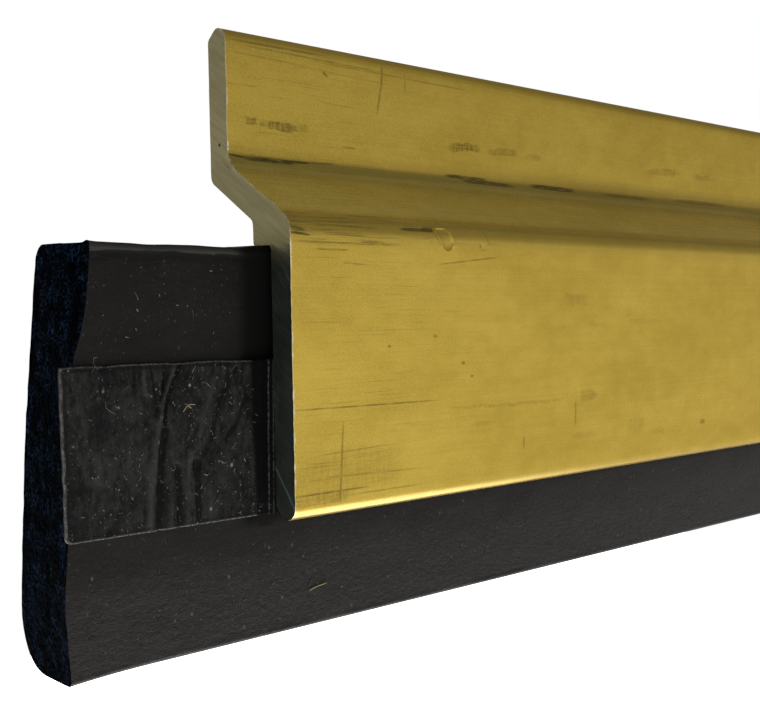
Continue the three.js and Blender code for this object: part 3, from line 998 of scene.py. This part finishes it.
# The longer hairs: their corners by distance from the aluminium's end and below its top, radius, brownness
HAIRS = [
    ([(-9.9, 39.6), (-9.5, 39.1), (-9.1, 38.9), (-8.5, 38.95)], 0.05, 0.9),
    ([(-9.3, 38.9), (-9.1, 39.15), (-8.9, 39.3)], 0.05, 0.7),
    ([(-7.8, 36.8), (-7.2, 36.9), (-6.7, 37.4)], 0.05, 0.2),
    ([(-8.9, 35.9), (-8.7, 35.5), (-8.4, 35.1)], 0.045, 0.3),
    ([(-4.4, 36.0), (-3.9, 35.5), (-3.5, 35.2)], 0.04, 0.4),
    ([(-19.0, 33.9), (-19.2, 34.8), (-19.6, 35.5)], 0.035, 0.2),
    ([(-18.2, 38.0), (-18.1, 38.7), (-17.6, 39.1), (-17.0, 39.4)], 0.04, 0.3),
    ([(-8.5, 29.6), (-8.3, 30.2), (-8.4, 30.9)], 0.022, 0.2),
    ([(-14.8, 28.0), (-14.5, 28.5), (-14.4, 28.8)], 0.06, 0.1),
    ([(-14.6, 29.6), (-14.4, 29.9)], 0.06, 0.1),
    ([(-14.7, 31.4), (-14.6, 31.7)], 0.06, 0.1),
    ([(-6.4, 25.9), (-6.1, 26.0)], 0.07, 0.2),
    ([(-5.1, 25.8), (-4.9, 25.8)], 0.06, 0.2),
    ([(-5.6, 44.7), (-5.2, 45.0), (-4.8, 44.9)], 0.05, 0.4),
    ([(-7.6, 45.8), (-7.2, 46.0), (-6.9, 45.8)], 0.05, 0.3),
    ([(6.2, 59.8), (7.2, 59.55), (8.5, 59.4)], 0.06, 1.0),
    ([(6.0, 59.9), (6.5, 59.65), (7.1, 59.6)], 0.045, 1.0),
    ([(6.4, 58.7), (6.2, 59.1), (6.1, 59.4)], 0.035, 0.5),
]


def build_lint():
    """Hairs and dust caught on the tape and the sponge's skin, each a small closed tube."""
    chance = np.random.default_rng(77)
    strands = list(HAIRS)

    def scatter(count, left, right, high, low, longest):
        for _ in range(count):
            start = np.array([chance.uniform(left, right), chance.uniform(high, low)])
            angle, turn = chance.uniform(0, math.pi), chance.uniform(-1.2, 1.2)
            length = chance.uniform(0.15, 1) ** 2 * longest + 0.12
            bends = [(length * t, angle + turn * t) for t in (0, 0.35, 0.7, 1)]
            steps = [start + reach * np.array([math.cos(a), math.sin(a)]) for reach, a in bends]
            strands.append((steps, chance.uniform(0.025, 0.05), chance.uniform(0, 0.5)))

    scatter(70, -9.5, -2.2, 35.5, 50.3, 0.4)
    scatter(30, -20.8, -14.5, 42.0, 50.3, 0.4)
    scatter(22, -20.5, -9.0, 35.5, 50.0, 0.5)
    scatter(9, -1.1, -0.35, 49.5, 50.4, 0.08)
    scatter(7, 0.55, 0.95, 49.3, 50.3, 0.08)
    scatter(14, -2.4, -1.2, 36.0, 48.0, 0.25)
    scatter(16, -19.0, -3.5, 24.5, 34.0, 0.3)
    scatter(12, -19.5, 30.0, 52.0, 61.0, 0.35)
    points, faces, brown = [], [], []
    for line, radius, tone in strands:
        line = np.asarray(line, float)
        fractions = np.linspace(0, len(line) - 1, 3 * len(line) - 2)
        past, below = (np.interp(fractions, np.arange(len(line)), line[:, i]) for i in (0, 1))
        on_tape = (below > TOP - TAPE_TOP) & (below < TOP - BOTTOM)
        face = np.where(on_tape, TAPE_FREE_FRONT - tape_crests(past, below), SEAL_FRONT + 0.03)
        tube, sides = fibre(np.column_stack([LEFT_END + past, face - radius * 0.6, TOP - below]), radius)
        faces.extend(tuple(len(brown) + corner for corner in side) for side in sides)
        points.extend(tube)
        brown.extend([tone] * len(tube))
    piece = make_piece("lint_fibres", points, faces, [lint_grey()], 0, 60, {"brown": brown})
    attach(piece, "sweep")
    return piece


def lint_grey():
    """Dust and hair: pale grey to golden brown."""
    r = Recipe("lint_grey")
    brown = r.node("ShaderNodeAttribute", attribute_name="brown").outputs["Fac"]
    patchy = r.noise(r.place, 1.3, detail=3)
    pale = r.mix(r.step(patchy, 0.40, 0.75), (0.045, 0.043, 0.038), (0.22, 0.21, 0.185))
    tint = r.mix(r.step(brown, 0.3, 1.0), pale, (0.30, 0.24, 0.13))
    r.set(Base_Color=tint, Roughness=r.total(0.6, r.times(patchy, 0.2)), Normal=r.bump(patchy, 0.01))
    r.set(Specular_IOR_Level=0.3)
    return r.material


# ---------------------------------------------------------------- screws


def lathe(profile, steps, turn=0.0):
    """Turns a profile of (radius, depth) about the depth axis; both ends lie on the axis."""
    points = [(0.0, profile[0][1], 0.0)]
    rings = profile[1:-1]
    for radius, depth in rings:
        for i in range(steps):
            angle = turn + 2 * math.pi * i / steps
            points.append((radius * math.cos(angle), depth, radius * math.sin(angle)))
    points.append((0.0, profile[-1][1], 0.0))
    faces = tube_faces(len(rings), steps, 1)
    last = len(points) - 1
    for i in range(steps):
        faces.append((0, 1 + (i + 1) % steps, 1 + i))
        a, b = last - steps + i, last - steps + (i + 1) % steps
        faces.append((last, a, b))
    return np.array(points), faces


def build_screw(name, turn, material):
    """A pan-head screw: a domed head with a cross recess, and a threaded shank with a point."""
    low, high = box_mm(name)
    head_front, tip = low[1], high[1]
    head_height, head_radius, shank, core, pitch, point = 2.1, 3.45, 1.75, 1.3, 1.27, 4.0
    seat = head_front + head_height
    dome = [(head_radius * math.sin(a), seat - 1.0 - 1.1 * math.cos(a)) for a in np.linspace(0, 1.35, 10)]
    rim = [(head_radius, seat - 0.75), (head_radius, seat - 0.2), (head_radius - 0.2, seat)]
    profile = dome + rim + [(shank, seat)]
    rows = round((tip - seat) / pitch * 10)
    profile += [(shank, d) for d in np.linspace(seat, tip, rows + 1)[1:]]
    profile = profile[:-1] + [(0.15, tip - 0.05), (0.0, tip)]
    profile[0] = (0.0, profile[0][1])
    steps = 32
    points, faces = lathe(profile, steps, turn)
    radius = np.hypot(points[:, 0], points[:, 2])
    angle = np.arctan2(points[:, 2], points[:, 0])
    threaded = (points[:, 1] > seat + 0.3) & (radius > 0.2)
    phase = ((points[:, 1] / pitch - angle / (2 * math.pi)) % 1.0) - 0.5
    crest = np.clip(1 - np.abs(phase) / 0.22, 0, 1)
    taper = np.clip((tip - points[:, 1]) / point, 0.06, 1) ** 0.8
    wanted = (core + (shank - core) * crest) * taper
    scale = np.where(threaded, wanted / np.maximum(radius, 1e-6), 1)
    points = points * np.column_stack([scale, np.ones(len(points)), scale])
    middle = np.array([(low[0] + high[0]) / 2, 0.0, (low[2] + high[2]) / 2])
    piece = make_piece(f"{name}_threaded", points + middle, faces, [material], 0, 35)
    for i in range(2):
        cut_away(piece, recess_cutter(middle, head_front, turn + i * math.pi / 2))
    piece.data.set_sharp_from_angle(angle=math.radians(35))
    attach(piece, "fasteners")
    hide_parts(name)
    return piece


def recess_cutter(middle, head_front, turn):
    """One wing of the cross recess: a wedge, wide at the head's face and narrow at its floor."""
    depth, span, width = 1.35, 3.6, 0.8
    levels = [(-0.6, span / 2 + 0.15, width / 2 + 0.06), (depth, span / 4, width / 2 - 0.08)]
    corners = []
    for level, length, half in levels:
        for a, b in ((-1, -1), (1, -1), (1, 1), (-1, 1)):
            across, up = a * length, b * half
            x = across * math.cos(turn) - up * math.sin(turn)
            z = across * math.sin(turn) + up * math.cos(turn)
            corners.append((middle[0] + x, head_front + level, middle[2] + z))
    faces = [(0, 1, 2, 3), (7, 6, 5, 4), (0, 4, 5, 1), (1, 5, 6, 2), (2, 6, 7, 3), (3, 7, 4, 0)]
    return make_piece("recess_cutter", corners, faces, [])


def screw_brass():
    """Plated brass, in random patches of brighter and duller tone and roughness."""
    r = Recipe("screw_brass")
    wear = r.noise(r.place, 1.1, detail=4, rough=0.6)
    fine = r.noise(r.place, 6.0, detail=3)
    tint = r.mix(r.step(wear, 0.35, 0.7), (0.42, 0.29, 0.075), (0.63, 0.47, 0.16))
    roughness = r.total(0.2, r.times(wear, 0.25))
    r.set(Base_Color=tint, Metallic=1.0, Roughness=roughness, Normal=r.bump(fine, 0.015))
    return r.material


def build_screws():
    material = screw_brass()
    for i, name in enumerate(screw_nodes()):
        build_screw(name, 0.35 + 0.9 * i, material)


# ---------------------------------------------------------------- studio


def build_camera():
    """A 54 mm lens near the left end, turned 42.5 degrees along the strip and tipped 2.6 down."""
    data = bpy.data.cameras.new("camera")
    data.lens, data.sensor_width = 54.0, 36.0
    data.clip_start, data.clip_end = 0.01, 50.0
    camera = bpy.data.objects.new("camera", data)
    bpy.context.scene.collection.objects.link(camera)
    bpy.context.scene.camera = camera
    turn, tip = math.radians(42.5096), math.radians(2.6367)
    turned = Euler((math.pi / 2 - tip, 0, -turn)).to_matrix().to_4x4()
    place = ((LEFT_END - 69.9) * MM, -103.6 * MM, (TOP - 28.8) * MM)
    camera.matrix_world = Matrix.Translation(place) @ turned


def build_world():
    """Soft light from all round, brighter from below and from the front right; white to the camera."""
    world = bpy.data.worlds.new("studio")
    bpy.context.scene.world = world
    world.use_nodes = True
    tree = world.node_tree
    direction = add_node(tree, "ShaderNodeTexCoord").outputs["Generated"]
    height = add_node(tree, "ShaderNodeSeparateXYZ", {0: direction}).outputs[2]
    rise = add_node(tree, "ShaderNodeMapRange", {"Value": height, "From Min": -1.0}).outputs[0]
    ramp = add_node(tree, "ShaderNodeValToRGB", {0: rise})
    levels = [(0.0, 0.8), (0.40, 0.37), (0.50, 0.35), (0.55, 0.27), (0.60, 0.19), (0.72, 0.145), (1.0, 0.15)]
    ramp.color_ramp.interpolation = "EASE"
    while len(ramp.color_ramp.elements) < len(levels):
        ramp.color_ramp.elements.new(0.5)
    for element, (position, level) in zip(ramp.color_ramp.elements, levels):
        element.position = position
        element.color = (level, level, level, 1)
    brighter = (0.6, -0.8, 0.0)
    side = add_node(tree, "ShaderNodeVectorMath", {0: direction, 1: brighter}, operation="DOT_PRODUCT")
    values = {"Value": side.outputs["Value"], "From Min": -1.0, "To Min": 1.0, "To Max": 2.15}
    lean = add_node(tree, "ShaderNodeMapRange", values).outputs[0]
    light = tree.nodes["Background"]
    feed(tree, light.inputs["Color"], ramp.outputs[0])
    feed(tree, light.inputs["Strength"], lean)
    white = add_node(tree, "ShaderNodeBackground", {"Color": (1, 1, 1, 1), "Strength": 1.0})
    seen = add_node(tree, "ShaderNodeLightPath").outputs["Is Camera Ray"]
    values = {0: seen, 1: light.outputs[0], 2: white.outputs[0]}
    mixed = add_node(tree, "ShaderNodeMixShader", values).outputs[0]
    feed(tree, tree.nodes["World Output"].inputs["Surface"], mixed)


def build_floor():
    """A plain pale floor well below the strip, lit from within, most of all behind the left end."""
    r = Recipe("pale_floor")
    glow = r.times(r.step(r.along, 257.2, 487.2, 1.0, 0.12), r.step(r.depth, -500.0, -120.0, 0.15, 2.8))
    seen = r.node("ShaderNodeLightPath").outputs["Is Camera Ray"]
    r.set(Base_Color=(0.9, 0.9, 0.9, 1.0), Emission_Color=(1.0, 1.0, 1.0, 1.0))
    r.set(Emission_Strength=r.total(glow, 0.52, seen))
    mesh = bpy.data.meshes.new("floor")
    half, level = 0.9, SEAL_BOTTOM * MM - 0.3
    corners = [(-half, -half, level), (half, -half, level), (half, half, level), (-half, half, level)]
    mesh.from_pydata(corners, [], [(0, 1, 2, 3)])
    mesh.materials.append(r.material)
    floor = bpy.data.objects.new("floor", mesh)
    bpy.context.scene.collection.objects.link(floor)


bpy.context.scene.view_settings.view_transform = "Standard"
build_camera()
build_world()
build_floor()
build_retainer()
build_sponge()
build_tape()
build_lint()
build_screws()
